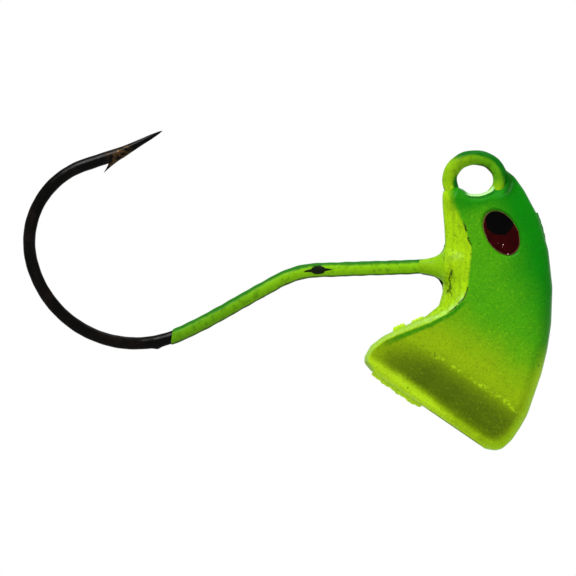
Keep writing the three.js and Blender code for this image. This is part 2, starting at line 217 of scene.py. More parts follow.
# %% Tools for finishes
class Finish:
    """A material under construction."""

    def __init__(self, name):
        self.material = bpy.data.materials.new(name)
        self.material.use_nodes = True
        self.tree = self.material.node_tree
        self.shader = self.tree.nodes["Principled BSDF"]
        place = self.tree.nodes.new("ShaderNodeTexCoord")
        self.mm = self.vector("MULTIPLY", place.outputs["Object"], (1 / MM, 1 / MM, 1 / MM))

    def put(self, socket, value):
        """Links a socket, or sets a plain value."""
        if isinstance(value, bpy.types.NodeSocket):
            self.tree.links.new(value, socket)
        else:
            socket.default_value = value

    def look(self, **settings):
        """Sets the shader's inputs; an underscore in a name stands for a space."""
        for name, value in settings.items():
            self.put(self.shader.inputs[name.replace("_", " ")], value)
        return self.material

    def math(self, operation, first, second=0.0):
        """One sum on two numbers."""
        node = self.tree.nodes.new("ShaderNodeMath")
        node.operation = operation
        self.put(node.inputs[0], first)
        self.put(node.inputs[1], second)
        return node.outputs[0]

    def vector(self, operation, first, second):
        """One sum on two vectors."""
        node = self.tree.nodes.new("ShaderNodeVectorMath")
        node.operation = operation
        self.put(node.inputs[0], first)
        self.put(node.inputs[1], second)
        return node.outputs[0]

    def axis(self, letter):
        """The X, Y or Z place in mm."""
        node = self.tree.nodes.new("ShaderNodeSeparateXYZ")
        self.put(node.inputs[0], self.mm)
        return node.outputs[letter]

    def field(self, name):
        """A number stored at the vertices."""
        node = self.tree.nodes.new("ShaderNodeAttribute")
        node.attribute_name = name
        return node.outputs["Fac"]

    def noise(self, scale, detail=3.0, roughness=0.55, stretch=(1, 1, 1), shift=(0, 0, 0)):
        """Cloudy noise from 0 to 1; scale is its number of lumps per mm."""
        node = self.tree.nodes.new("ShaderNodeTexNoise")
        moved = self.vector("ADD", self.vector("MULTIPLY", self.mm, stretch), shift)
        self.put(node.inputs["Vector"], moved)
        self.put(node.inputs["Scale"], scale)
        self.put(node.inputs["Detail"], detail)
        self.put(node.inputs["Roughness"], roughness)
        return node.outputs[0]

    def cells(self, scale, shift=(0, 0, 0)):
        """Distance to the nearest of many scattered dots, for specks."""
        node = self.tree.nodes.new("ShaderNodeTexVoronoi")
        self.put(node.inputs["Vector"], self.vector("ADD", self.mm, shift))
        self.put(node.inputs["Scale"], scale)
        return node.outputs["Distance"]

    def step(self, value, low, high):
        """0 below low, 1 above high, smooth between. It falls instead if low is above high."""
        node = self.tree.nodes.new("ShaderNodeMapRange")
        node.interpolation_type = "SMOOTHSTEP"
        self.put(node.inputs["Value"], value)
        rising = low < high
        self.put(node.inputs["From Min"], low if rising else high)
        self.put(node.inputs["From Max"], high if rising else low)
        self.put(node.inputs["To Min"], 0.0 if rising else 1.0)
        self.put(node.inputs["To Max"], 1.0 if rising else 0.0)
        return node.outputs["Result"]

    def times(self, *values):
        """The product of all the values."""
        product = values[0]
        for value in values[1:]:
            product = self.math("MULTIPLY", product, value)
        return product

    def plus(self, first, second):
        """The sum of two values."""
        return self.math("ADD", first, second)

    def near(self, value, place, inner, outer):
        """1 within inner of a place and 0 beyond outer."""
        return self.step(self.math("ABSOLUTE", self.plus(value, -place)), outer, inner)

    def ragged(self, scale, detail=5.0, roughness=0.7):
        """Noise about 0, from -0.5 to 0.5, that frays the border of a patch of paint."""
        return self.math("SUBTRACT", self.noise(scale, detail, roughness), 0.5)

    def mix(self, share, first, second):
        """Blends two colours."""
        node = self.tree.nodes.new("ShaderNodeMix")
        node.data_type = "RGBA"
        self.put(node.inputs["Factor"], share)
        self.put(node.inputs[6], first)
        self.put(node.inputs[7], second)
        return node.outputs[2]

    def bump(self, height, distance):
        """A normal from a height; distance is what a height of 1 stands for, in mm."""
        node = self.tree.nodes.new("ShaderNodeBump")
        self.put(node.inputs["Height"], height)
        self.put(node.inputs["Distance"], distance * MM)
        self.put(node.inputs["Strength"], 1.0)
        return node.outputs[0]

    def count(self, layer):
        """Prints how many nodes the finish has after a layer."""
        print(self.material.name, "with", layer + ":", len(self.tree.nodes), "nodes")


# %% [markdown]
# The paint is a powder that was melted on the warm lead: a bright, glossy yellow-green all over,
# with a second coat of deep green sprayed over the front. Eleven colours are enough, because the
# layers below blend them. Each is a linear red, green and blue. GLINT is how strongly it all shines.

# %% Paint colours
LIME = (0.36, 0.64, 0.003, 1.0)
LIGHT_LIME = (0.46, 0.74, 0.010, 1.0)
DULL_LIME = (0.26, 0.47, 0.003, 1.0)
COLLAR_LIME = (0.22, 0.47, 0.003, 1.0)
OLIVE = (0.26, 0.43, 0.002, 1.0)
MEADOW = (0.066, 0.345, 0.002, 1.0)
GREEN = (0.002, 0.215, 0.001, 1.0)
# Painted shade: the dark olive painted into the scoop, for the shadow it lies in.
SCOOP_SHADE = (0.105, 0.172, 0.001, 1.0)
DEEP = (0.003, 0.075, 0.001, 1.0)
# Painted highlight: the pale mint on the hole's lip, the sharp edges and the folds, where they catch
# the light.
HIGHLIGHT_MINT = (0.47, 0.82, 0.32, 1.0)
SOOT = (0.006, 0.010, 0.003, 1.0)
GLINT = 0.06
print("lime reflects", LIME[1], "of green light, and deep green", DEEP[1])

# %% [markdown]
# The head's finish needs to know where it is. Its mesh will store, at each vertex, the distance in
# mm from the crest of the rear bevel, from the front edge, up from the foot, along the foot, down
# from the top, and so on. A painted texture could place the colours too, but these distances keep
# them sharp at any size, and they move with the outline if it is changed. The layers also share
# three noises: a slow wander of whole areas, a fray for borders, and a grain.

# %% Head paint: places and noises
class HeadPaint(Finish):
    """The head's finish, with the places on the head and the noises that its layers share."""

    def __init__(self):
        super().__init__("head_paint")
        self.crest = self.field("crest")
        self.front = self.field("front")
        self.up = self.field("up")
        self.along = self.field("along")
        self.down = self.field("down")
        self.lip = self.field("lip")
        self.x = self.axis("X")
        self.z = self.axis("Z")
        self.wander = self.times(self.ragged(0.5, 4.0, 0.55), 2.2)
        self.fray = self.ragged(1.4, 6.0)
        self.grain = self.noise(3.2, 5.0, 0.65)


paint = HeadPaint()
paint.count("its places and noises")

# %% [markdown]
# The ground: olive on the lobe behind, grass green above it, and the sprayed green over the front
# and the top. Spray thins out evenly, so each border is a wide, wandering S and not a line.

# %% Head paint: sprayed ground
colour = paint.mix(paint.step(paint.plus(paint.up, paint.wander), 4.6, 9.6), OLIVE, MEADOW)
low_down = paint.math("MAXIMUM", paint.plus(paint.down, -8.0), 0.0)
from_front = paint.plus(paint.front, paint.times(low_down, 0.45))
from_front = paint.plus(from_front, paint.times(paint.wander, 0.5))
from_top = paint.times(paint.step(paint.down, 3.2, 1.0), 0.85)
sprayed = paint.math("MAXIMUM", paint.step(from_front, 4.9, 1.0), from_top)
colour = paint.mix(sprayed, colour, GREEN)
paint.count("the sprayed ground")

# %% [markdown]
# The scoop is painted darker, a painted shade for the shadow it lies in under the crest. The rim below
# is painted bright as a painted highlight, fading to olive at the front, with a thin painted highlight
# line along its edge. The sole underneath is painted deep green as painted shade. The low end of the
# front stayed free of green.

# %% Head paint: scoop shade, rim highlights and sole shade, all painted
upper_side = paint.plus(paint.up, paint.times(paint.fray, 0.5))
upper_side = paint.plus(upper_side, paint.step(paint.along, 4.0, 0.0))
lowered = paint.plus(paint.up, paint.times(paint.step(paint.along, 3.0, 9.0), 0.35))
# Painted shade in the scoop under the crest, fading out at both ends of the foot.
scoop_shade_mask = paint.times(paint.step(lowered, 0.85, 1.55), paint.step(upper_side, 4.9, 2.5))
scoop_shade_mask = paint.times(scoop_shade_mask, paint.step(paint.along, -0.9, 0.7), paint.step(paint.front, 0.2, 1.3))
scoop_shade_mask = paint.times(scoop_shade_mask, paint.plus(paint.times(paint.step(paint.along, 0.0, 4.0), 0.28), 0.72))
colour = paint.mix(scoop_shade_mask, colour, SCOOP_SHADE)

# Painted highlight on the rim: light lime at the rear, fading to olive at the front.
on_rim = paint.step(paint.plus(lowered, paint.times(paint.fray, 0.5)), 1.25, 0.70)
rim_highlight = paint.mix(paint.times(paint.step(paint.along, 5.0, 8.5), 0.75), LIGHT_LIME, OLIVE)
colour = paint.mix(on_rim, colour, rim_highlight)
# A thin painted highlight line along the rim's edge, towards the front.
rim_edge_highlight = paint.times(paint.step(paint.up, 0.42, 0.22), paint.step(paint.along, 4.5, 6.0), 0.6)
colour = paint.mix(rim_edge_highlight, colour, LIGHT_LIME)
# Painted shade: deep green on the sole underneath, fading in towards the rear.
sole_shade = paint.times(paint.step(paint.up, 0.18, 0.10), 0.7)
sole_shade = paint.times(sole_shade, paint.step(paint.plus(paint.along, paint.wander), 3.0, 6.5))
colour = paint.mix(sole_shade, colour, DEEP)
low_front = paint.step(paint.plus(paint.z, paint.wander), -12.8, -16.2)
colour = paint.mix(paint.times(low_front, paint.step(paint.front, 1.0, 0.15)), colour, LIME)
paint.count("the scoop, rim and sole")

# %% [markdown]
# The rear bevel and the collar missed the green spray. They are lime, streaked along the pull of the
# cooling lead. A green run lies just inside the crest of the lobe. The border goes where the metal
# turns its corner, so it follows the crest's own distance, and blurs beside the ring.

# %% Head paint: bevel and collar
run = paint.times(paint.near(paint.crest, 0.28, 0.08, 0.34), 0.8)
run = paint.times(run, paint.step(paint.z, -9.2, -10.2), paint.step(paint.z, -13.6, -12.4))
colour = paint.mix(run, colour, GREEN)

beside_ring = paint.step(paint.z, -4.4, -2.2)
border = paint.times(paint.crest, paint.math("SUBTRACT", 1.0, paint.times(beside_ring, 0.75)))
border = paint.plus(paint.plus(border, paint.times(beside_ring, 0.08)), paint.times(paint.fray, 0.18))
streak = paint.noise(1.0, 4.0, 0.6, stretch=(2.4, 2.4, 0.7))
bevel_colour = paint.mix(paint.step(streak, 0.42, 0.66), LIME, DULL_LIME)
bevel_colour = paint.mix(paint.times(paint.field("collar"), 0.85), bevel_colour, COLLAR_LIME)
colour = paint.mix(paint.step(border, 0.12, -0.12), colour, bevel_colour)
paint.count("the bevel")

# %% [markdown]
# Cast lead that ran together cold leaves cracks, here along the crest and below the shank. They are
# thin lines where a frayed distance crosses zero, broken up by a second noise. The same lines go
# into the bump below, so that a crack is a groove as well as a dark line.

# %% Head paint: cracks
crack = paint.near(paint.plus(paint.crest, paint.times(paint.fray, 0.45)), 0.0, 0.03, 0.085)
crack = paint.times(crack, paint.step(paint.noise(0.9, 2.0), 0.40, 0.48))
crack = paint.times(crack, paint.step(paint.z, -3.2, -3.8), paint.step(paint.z, -10.9, -10.3))
fold = paint.near(paint.plus(paint.x, paint.times(paint.fray, 1.5)), -2.0, 0.03, 0.11)
fold = paint.times(fold, paint.step(paint.z, -6.9, -7.4), paint.step(paint.z, -9.6, -9.0), 0.9)
crack = paint.math("MAXIMUM", crack, fold)
colour = paint.mix(paint.times(crack, 0.9), colour, SOOT)
paint.count("cracks")

# %% [markdown]
# Powder paint is never even. It has a fine stipple and sparse pits. Bright flecks along the crest
# above the scoop are painted highlights, glints on little bumps. Noise gives the stipple, and dots
# scattered by cells give the round pits.

# %% Head paint: stipple, painted glints and pits
stipple = paint.noise(6.0, 3.0, 0.7)
colour = paint.mix(paint.times(paint.step(stipple, 0.50, 0.30), 0.35), colour, DEEP)
bright = paint.times(paint.step(stipple, 0.56, 0.72), paint.math("SUBTRACT", 1.0, sprayed), 0.30)
colour = paint.mix(bright, colour, LIGHT_LIME)
# Painted highlights: bright flecks on the crest above the scoop.
crest_glint = paint.near(paint.plus(paint.up, paint.times(paint.fray, 1.2)), 4.0, 0.05, 0.25)
crest_glint = paint.times(crest_glint, paint.step(paint.grain, 0.50, 0.60), paint.step(paint.along, 1.5, 4.0), 0.6)
colour = paint.mix(crest_glint, colour, LIGHT_LIME)
pit_size = paint.plus(paint.times(paint.noise(0.8, 2.0), 0.35), -0.14)
pit = paint.math("LESS_THAN", paint.cells(1.15), pit_size)
colour = paint.mix(paint.times(pit, 0.6), colour, DEEP)
paint.count("stipple, flecks and pits")

# %% [markdown]
# Beside the hole the web in front of the ring is shaded, with painted shade, and a band under the
# hole's lip is painted dark as shade too. A pale painted highlight lies on the rounded lip, where the
# light falls on it. The sharp edges and the folds at the foot of the bevel get pale painted highlights
# too, where they catch the light.

# %% Head paint: painted shade and highlights at the lip and edges
colour = paint.mix(paint.times(paint.field("web"), 0.85), colour, DEEP)
under_hole = paint.times(paint.step(paint.x, -0.9, -0.4), paint.step(paint.x, 1.75, 1.35))
under_hole = paint.times(under_hole, paint.step(paint.z, -0.35, -0.60))
# Painted shade: a deep green band just under the hole's lip.
colour = paint.mix(paint.times(paint.step(paint.lip, 0.55, 0.25), under_hole, 0.7), colour, DEEP)
# Painted highlight: pale mint on the rounded lip under the hole.
lip_highlight = paint.step(paint.plus(paint.lip, paint.times(paint.fray, 0.15)), 0.26, 0.19)
colour = paint.mix(paint.times(lip_highlight, under_hole), colour, HIGHLIGHT_MINT)

# Painted highlight: pale mint patches on the sharp edges of the lobe and bevel.
edge_highlight = paint.times(paint.step(paint.field("edge"), 0.34, 0.06), paint.step(paint.grain, 0.40, 0.60))
edge_highlight = paint.times(edge_highlight, paint.step(paint.z, -4.0, -6.5), paint.step(paint.up, 0.06, 0.18), 0.30)
colour = paint.mix(edge_highlight, colour, HIGHLIGHT_MINT)
# Painted highlight: pale mint glints on the folds below the crest.
fold_highlight = paint.times(paint.near(paint.crest, -0.22, 0.06, 0.30), paint.step(paint.grain, 0.42, 0.56))
fold_highlight = paint.times(fold_highlight, paint.step(paint.z, -8.8, -9.5), paint.step(paint.z, -11.8, -10.8), 0.40)
colour = paint.mix(fold_highlight, colour, HIGHLIGHT_MINT)
paint.count("the lip and edges")

# %% [markdown]
# Last come the relief and the gloss. Melted powder has a slow orange peel and a fine grain, and the
# cracks and pits sink in. It could all be modelled, but relief of a few hundredths of a millimetre
# is cheaper as bump. The specular level is low, so that white light doesn't wash out the colours.

# %% Head paint: relief and gloss
relief = paint.plus(paint.times(paint.noise(1.1, 3.0), 0.7), paint.times(paint.grain, 0.3))
relief = paint.math("SUBTRACT", relief, paint.times(crack, 0.8))
relief = paint.math("SUBTRACT", relief, paint.times(pit, 0.4))
gloss = paint.plus(paint.times(paint.grain, 0.18), 0.26)
head_paint = paint.look(
    Base_Color=colour, Roughness=gloss, Specular_IOR_Level=GLINT, Normal=paint.bump(relief, 0.05)
)
paint.count("its relief")

# %% [markdown]
# The wire of the ring and the shank wears the same paint in a thinner coat. It is lighter on the
# side that faces you and green on the side that the spray came from, and its underside is painted
# dark as painted shade. The mesh stores how far each point faces the spray, which a fixed direction in
# the finish couldn't follow round a bend. Both coats share one function, with their own colours.

# %% Wire paints
def wire_paint(name, front_colour, rear_colour, change, foot, top, underside_shade, spray):
    """Paint on wire: one colour at the front and one at the rear, meeting over the two X places of
    change. Lime takes over between the two heights of foot. top is the colour on the sprayed side,
    which starts where the facing is spray, and underside_shade is a dark colour painted on the
    opposite side as painted shade."""
    f = Finish(name)
    middle = f.mix(f.step(f.axis("X"), *change), front_colour, rear_colour)
    middle = f.mix(f.times(f.step(f.axis("Z"), *foot), 0.8), middle, LIME)
    grain = f.noise(2.2, 5.0, 0.6)
    wander = f.times(f.ragged(0.8), 0.6)
    facing = f.field("facing")
    colour = f.mix(f.step(f.plus(facing, wander), spray, spray + 0.42), middle, top)
    colour = f.mix(f.times(f.step(grain, 0.50, 0.34), 0.35), colour, DEEP)
    # Painted shade: the side facing away from the spray direction is painted dark.
    lower = f.plus(facing, f.times(wander, 0.2))
    colour = f.mix(f.step(lower, -0.66, -0.86), colour, underside_shade)
    bare = f.field("bare")
    spot = f.step(f.plus(bare, f.times(f.ragged(3.0), 0.5)), 0.14, 0.32)
    colour = f.mix(f.times(spot, f.step(bare, 0.0, 0.05)), colour, SOOT)
    speck_size = f.plus(f.times(f.noise(0.5, 2.0), 0.5), -0.25)
    speck = f.math("LESS_THAN", f.cells(1.6, (3, 1, 7)), speck_size)
    colour = f.mix(f.times(speck, 0.7), colour, SOOT)
    lumps = f.plus(f.noise(0.9, 3.0), f.times(grain, 0.3))
    f.count("its layers")
    return f.look(
        Base_Color=colour, Roughness=f.plus(f.times(grain, 0.2), 0.28),
        Specular_IOR_Level=GLINT, Normal=f.bump(lumps, 0.05),
    )


# In each call, the second colour on the last line is the painted shade for the underside.
shank_paint = wire_paint(
    "shank_paint", (0.22, 0.52, 0.003, 1.0), (0.12, 0.34, 0.003, 1.0), (-12.0, -22.0), (-20, -22),
    (0.015, 0.16, 0.003, 1.0), (0.04, 0.09, 0.003, 1.0), 0.30,
)
ring_paint = wire_paint(
    "ring_paint", (0.10, 0.34, 0.003, 1.0), (0.23, 0.46, 0.003, 1.0), (1.2, -1.8), (0.2, -1.1),
    (0.002, 0.14, 0.002, 1.0), (0.04, 0.11, 0.002, 1.0), 0.0,
)

# %% [markdown]
# The hook and the ring are one piece of carbon-steel wire. A wire bender turns the ring first,
# then the neck that the lead will hide, the shank with its kink, and the round bend last. The path
# is written the way the bender would list it: a straight run, then a turn at a radius. A freehand
# spline is quicker to draw, but its radius changes all the time, and bent wire's doesn't.

# %% Wire path
tie = next(mount for mount in frame["record"]["mounts"] if mount["name"] == "line_tie")
RING_CENTRE = np.array(tie["pos_m"])[[0, 2]] / MM
RING = (2.03, 1.80)
RING_FROM, RING_TO = np.radians([-98.0, 197.0])
RING_STATIONS = 400
NECK_X = -1.55
SHANK_Z = -5.39
SHANK_BEND_R = 1.5
SHANK_HEADING = np.radians(181.9)
POINT_TURN = 9.6
POINT_LENGTH = 3.8
BENDS = [
    (1.5, 0.0, 1.0), (7.95, 27.4, 7.6), (5.9, -6.3, 27.4), (0.0, -4.4, 8.6), (0.0, -95.0, 8.6),
    (0.0, -85.2, 6.5), (2.75, POINT_TURN, 3.0), (POINT_LENGTH - 0.25, 0.0, 1.0),
]
SPACING = 0.01


def bent_path(start, heading, bends, spacing):
    """Points along a bent wire. The heading is constant on a run and changes evenly in a turn, and
    the points are the running sum of spacing * (cos heading, sin heading)."""
    runs = np.array([[run, np.radians(abs(turn)) * radius] for run, turn, radius in bends])
    turns = np.array([[0.0, np.radians(turn)] for _, turn, _ in bends])
    knots = np.concatenate([[0], np.cumsum(runs.ravel())])
    headings = heading + np.concatenate([[0], np.cumsum(turns.ravel())])
    along = np.arange(0, knots[-1], spacing)
    middle = np.interp(along + spacing / 2, knots, headings)
    steps = np.stack([np.cos(middle), np.sin(middle)], axis=1) * spacing
    return np.concatenate([[start], start + np.cumsum(steps, axis=0)])


ring_angle = np.linspace(RING_FROM, RING_TO, RING_STATIONS)
ring_path = np.stack([RING[0] * np.cos(ring_angle), RING[1] * np.sin(ring_angle)], axis=1)
ring_path = RING_CENTRE + ring_path
leaving = ring_path[-1] - ring_path[-2]
lean = np.arctan2(leaving[0], -leaving[1])
neck_radius = (NECK_X - ring_path[-1][0]) / (1 - np.cos(lean))
neck_run = ring_path[-1][1] - neck_radius * np.sin(lean) - SHANK_Z
neck_bends = [
    (0.0, -np.degrees(lean), neck_radius),
    (neck_run, np.degrees(SHANK_HEADING) - 270, SHANK_BEND_R),
]
body_path = bent_path(ring_path[-1], 1.5 * np.pi + lean, neck_bends + BENDS, SPACING)
wire_path = np.concatenate([ring_path[:-1], body_path])
wire_along = np.concatenate([[0], np.cumsum(np.hypot(*np.diff(wire_path, axis=0).T))])
wire_length = wire_along[-1]
print("wire length mm:", round(wire_length, 2), "tip at X and Z:", wire_path[-1].round(2))


def wire_stations(start, end, spacing):
    """Evenly spaced stations between two distances back from the tip: their distances along the
    wire, and their XZ points."""
    count = int(abs(start - end) / spacing) + 2
    along = np.linspace(wire_length - start, wire_length - end, count)
    return along, np.stack([np.interp(along, wire_along, c) for c in wire_path.T], axis=1)


def back_from_tip(place):
    """How far back from the tip the wire passes closest to an XZ place."""
    return wire_length - wire_along[np.argmin(np.hypot(*(wire_path - place).T))]


print("the kink is", round(back_from_tip([-12.57, -7.2]), 1), "mm back from the tip")

# %% [markdown]
# The hook is a round tube along that path. The point is ground to a needle, so the radius follows a
# profile near the tip. Drawn wire is faintly six-sided and wavy, which breaks up its highlight, and
# a lump of lacquer hangs below it where the paint ends. Stations are close together only near the
# barb, where the shape needs them.

# %% Hook surface
WIRE_R = 0.51
AROUND = 64
POINT_PROFILE = [
    [0, 0.015], [0.3, 0.095], [0.96, 0.185], [1.9, 0.26], [2.9, 0.36], [3.8, 0.47], [4.6, WIRE_R]
]
LUMP_X = -25.5
LUMP_HEIGHT = 0.13

around = np.linspace(0, 2 * np.pi, AROUND, endpoint=False)
stretches = [
    wire_stations(wire_length, 5.6, 0.12),
    wire_stations(5.58, 3.6, 0.018),
    wire_stations(3.56, 0.0, 0.05),
]
hook_along = np.concatenate([along for along, _ in stretches])
hook_points = np.concatenate([points for _, points in stretches])
centre, side, ahead = in_plane(hook_points)
from_tip = wire_length - hook_along
radius = np.interp(from_tip, *np.array(POINT_PROFILE).T)
wave = 0.006 * np.sin(hook_along * 1.9) + 0.005 * np.sin(hook_along * 5.3 + 1)
six_sided = 1 + 0.02 * np.cos(6 * around)[None] * np.clip(radius / WIRE_R, 0, 1)[:, None]
size = (radius + wave * (radius > 0.4))[:, None] * six_sided
rise = size * np.sin(around)
across = size * np.cos(around)
lump = LUMP_HEIGHT * np.exp(-((hook_points[:, 0] - LUMP_X) / 0.28) ** 2) * (hook_points[:, 1] < -10)
rise = rise + lump[:, None] * np.exp(-((around - 0.5 * np.pi) / 0.7) ** 2)
print("hook stations:", len(hook_points), "wire thickness mm:", round(2 * size.max(), 3))

# %% [markdown]
# The barb is a fang that a chisel raised from the wire's underside and pushed back. A separate cone
# would do, but its joint would show. Here the tube's own surface is lifted over a few stations and
# sheared back along the wire, so there is no joint, as on the real hook.

# %% Barb
BARB_FROM_TIP = (3.85, 4.74, 5.0)
BARB_BACK = 0.86
BARB_OUT = 0.60
BARB_WIDTH = np.radians(26)

fang = np.interp(from_tip, BARB_FROM_TIP, [0, 1, 0]) ** 1.5
underside = np.exp(-((around - 1.5 * np.pi) / BARB_WIDTH) ** 2)
raised = fang[:, None] * underside
vertices = tube_points(centre, side, rise - BARB_OUT * raised, across)
vertices[:-2] -= (ahead[:, None] * (BARB_BACK * raised)[..., None]).reshape(-1, 3)
print("barb stands out mm:", round(BARB_OUT * raised.max(), 2))

# %% [markdown]
# The steel is lacquered near-black over faint drawing marks. Grinding the point left a bronze facet
# behind it. One plain black would look like a hole, so two dark browns are smudged together and the
# gloss varies with the marks.

# %% Hook
def hook_finish():
    """Near-black lacquered wire with drawing marks, and a bronze facet ground behind the point."""
    f = Finish("hook_wire")
    from_tip = f.field("from_tip")
    marks = f.noise(3.0, 4.0, 0.6)
    smudge = f.step(f.noise(0.7, 3.0), 0.45, 0.7)
    colour = f.mix(smudge, (0.0015, 0.0012, 0.001, 1), (0.006, 0.004, 0.003, 1))
    ground = f.times(f.step(from_tip, 5.2, 4.3), f.step(from_tip, 2.6, 3.4))
    bronze = f.times(ground, f.step(marks, 0.46, 0.60), 0.5)
    colour = f.mix(bronze, colour, (0.13, 0.07, 0.025, 1))
    return f.look(
        Base_Color=colour, Roughness=f.plus(f.times(marks, 0.14), 0.17), Metallic=bronze,
        Specular_IOR_Level=GLINT, Normal=f.bump(marks, 0.010),
    )


hook_fields = {"from_tip": np.append(np.repeat(from_tip, AROUND), [wire_length, 0.0])}
piece(
    "hook_wire", vertices, tube_faces(*rise.shape), hook_finish(), ["hook"], hook_fields
)

# %% [markdown]
# The head is a wedge with a flat, sharp foot, a flat plateau on each side, a bevel down the rear
# and a collar where the shank leaves. Both sides come from one mould, so they mirror each other, and
# the whole head is one height map: a grid over the outline, with a half-thickness at each point. A
# box cut and bevelled by hand is the usual way, but a height map keeps every border adjustable.
#
# First the outline. Each row of the grid runs from the rear edge to the front edge.

# %% Head outline
REAR_EDGE = [
    (-2.55, -0.9), (-2.62, -1.35), (-2.6, -2.1), (-2.45, -3.9), (-2.4, -5.6), (-2.52, -7.4),
    (-2.6, -9.0), (-2.9, -10.05), (-3.95, -10.9), (-6.05, -11.85), (-7.35, -12.48), (-8.35, -13.25),
    (-8.86, -14.15), (-8.85, -14.65), (-8.35, -15.25),
]
FRONT_EDGE = [
    (2.45, 0.8), (3.15, 0.28), (3.95, -0.85), (5.1, -3.0), (5.87, -5.6), (6.2, -8.6), (6.1, -11.5),
    (5.8, -13.5), (5.35, -15.4), (4.2, -18.75), (3.65, -19.75), (2.95, -20.8), (2.2, -21.5),
    (1.6, -21.66), (0.8, -21.5),
]
COLLAR_OUTLINE = [
    (-2.40, -5.0), (-2.56, -5.58), (-2.80, -5.9), (-3.20, -6.13), (-3.75, -6.27), (-4.45, -6.38),
    (-4.55, -6.6), (-4.55, -7.28), (-4.45, -7.48), (-3.85, -7.57), (-3.30, -7.68), (-2.90, -7.98),
    (-2.62, -8.5),
]
ROWS = 290
COLUMNS = 156

rear_corners = np.array(REAR_EDGE)
front_corners = np.array(FRONT_EDGE)
above = [p for p in REAR_EDGE if p[1] > COLLAR_OUTLINE[0][1]]
below = [p for p in REAR_EDGE if p[1] < COLLAR_OUTLINE[-1][1]]
rear_line = curve_through(above + COLLAR_OUTLINE + below, 0.02, 0.10)
front_line = curve_through(FRONT_EDGE, 0.02, 0.18)
plain_rear = curve_through(REAR_EDGE, 0.05, 0.15)
print("outline points:", len(rear_line), "behind and", len(front_line), "in front")


# %% [markdown]
# The two edges have different lengths. Matching corners by number keeps a row from slanting: the
# third point of the rear table sits opposite the third of the front one. Columns bunch up near
# both edges, where the surface turns fastest.

# %% Head grid
front_share_of = np.concatenate([[0], np.cumsum(np.hypot(*np.diff(front_corners, axis=0).T))])
front_share_of = front_share_of / front_share_of[-1]
rear_match = np.interp(-rear_line[:, 1], -rear_corners[:, 1], front_share_of)
rear_arc = np.linspace(0, 1, len(rear_line))
front_arc = np.linspace(0, 1, len(front_line))
row = np.linspace(0, 1, ROWS)
even = (rear_arc + rear_match) / 2
rear_share = np.interp(row, even, rear_arc)
front_share = np.interp(row, even, rear_match)
rear_points = np.stack([np.interp(rear_share, rear_arc, c) for c in rear_line.T], axis=1)
front_points = np.stack([np.interp(front_share, front_arc, c) for c in front_line.T], axis=1)

column = np.linspace(0, 1, COLUMNS)
column = 0.35 * column + 0.65 * (1 - np.cos(np.pi * column)) / 2
flat_points = rear_points[:, None] * (1 - column[:, None]) + front_points[:, None] * column[:, None]
print("rows span mm:", np.hypot(*(rear_points - front_points).T).round(1)[[0, ROWS // 2, -1]])

# %% [markdown]
# The thickness comes from distances: up from the foot, in from the rear, the front and the top. The
# foot has a thin rim with a scoop behind it, which throws up mud when the jig is dragged. The crest
# above the scoop is the thickest place, and the head thins from there to the ring. Each is a short
# table of [distance, value], softened so that no corner is sharp.

# %% Head tables
TOP_REAR = np.array([-2.55, -0.9])
TOP_UP = np.array([-0.322, 0.947])
FOOT_REAR = np.array([-8.3, -15.35])
FOOT_AXIS = np.array([0.826, -0.564])
FOOT_UP = np.array([0.564, 0.826])
FLANK = [[-1, 1.3], [0, 1.3], [0.45, 1.7], [3.8, 2.6], [24, 0.38]]
SCOOP = [[0.45, 0], [1.35, 0.8], [2.5, 0.42], [3.8, 0]]
SCOOP_ALONG = [[0.6, 0], [4, 1], [11, 1], [12.3, 0.2]]
BEVEL = [
    [0, 0.6], [2, 1.1], [5.6, 2.1], [9.2, 1.9], [10.2, 1.2], [11.2, 0.55], [12.2, 0.35], [14.5, 0.3]
]


def graph(table, values, soften=0.12):
    """Reads a table of [place, value], joined by straight lines and averaged with a bell curve."""
    fine_place = np.arange(table[0][0] - 1, table[-1][0] + 1, 0.02)
    fine_value = np.interp(fine_place, *np.array(table).T)
    reach = np.arange(-3 * soften, 3 * soften + 0.01, 0.02)
    weights = np.exp(-0.5 * (reach / soften) ** 2)
    padded = np.pad(fine_value, len(reach) // 2, mode="edge")
    soft = np.convolve(padded, weights / weights.sum(), "valid")
    return np.interp(values, fine_place, soft[:len(fine_place)])


def flank(points):
    """Half-thickness before any edge: the flank's graph up from the foot, less the scoop's graph
    times its share along the foot."""
    offset = points - FOOT_REAR
    up = offset @ FOOT_UP
    share = graph(SCOOP_ALONG, offset @ FOOT_AXIS, 0.4)
    return graph(FLANK, up) - graph(SCOOP, up) * share


foot = next(mount for mount in frame["record"]["mounts"] if mount["name"] == "foot_flat")
foot_height = (np.array(foot["pos_m"])[[0, 2]] / MM - FOOT_REAR) @ FOOT_UP
print("the CAD foot is", round(foot_height, 3), "mm above the foot line drawn here")

# %% [markdown]
# The line goes through an oval hole inside the ring, and the cast lead forms the hole's lower lip.
# The top rows are moved down on a half ellipse to make that lip, with a small nub of lead at its
# rear end. A boolean could cut it, but moving rows bends the grid round the hole and keeps its edge
# smooth.

# %% Hole lip
HOLE = (1.55, 1.12)
DIP_REACH = 2.8

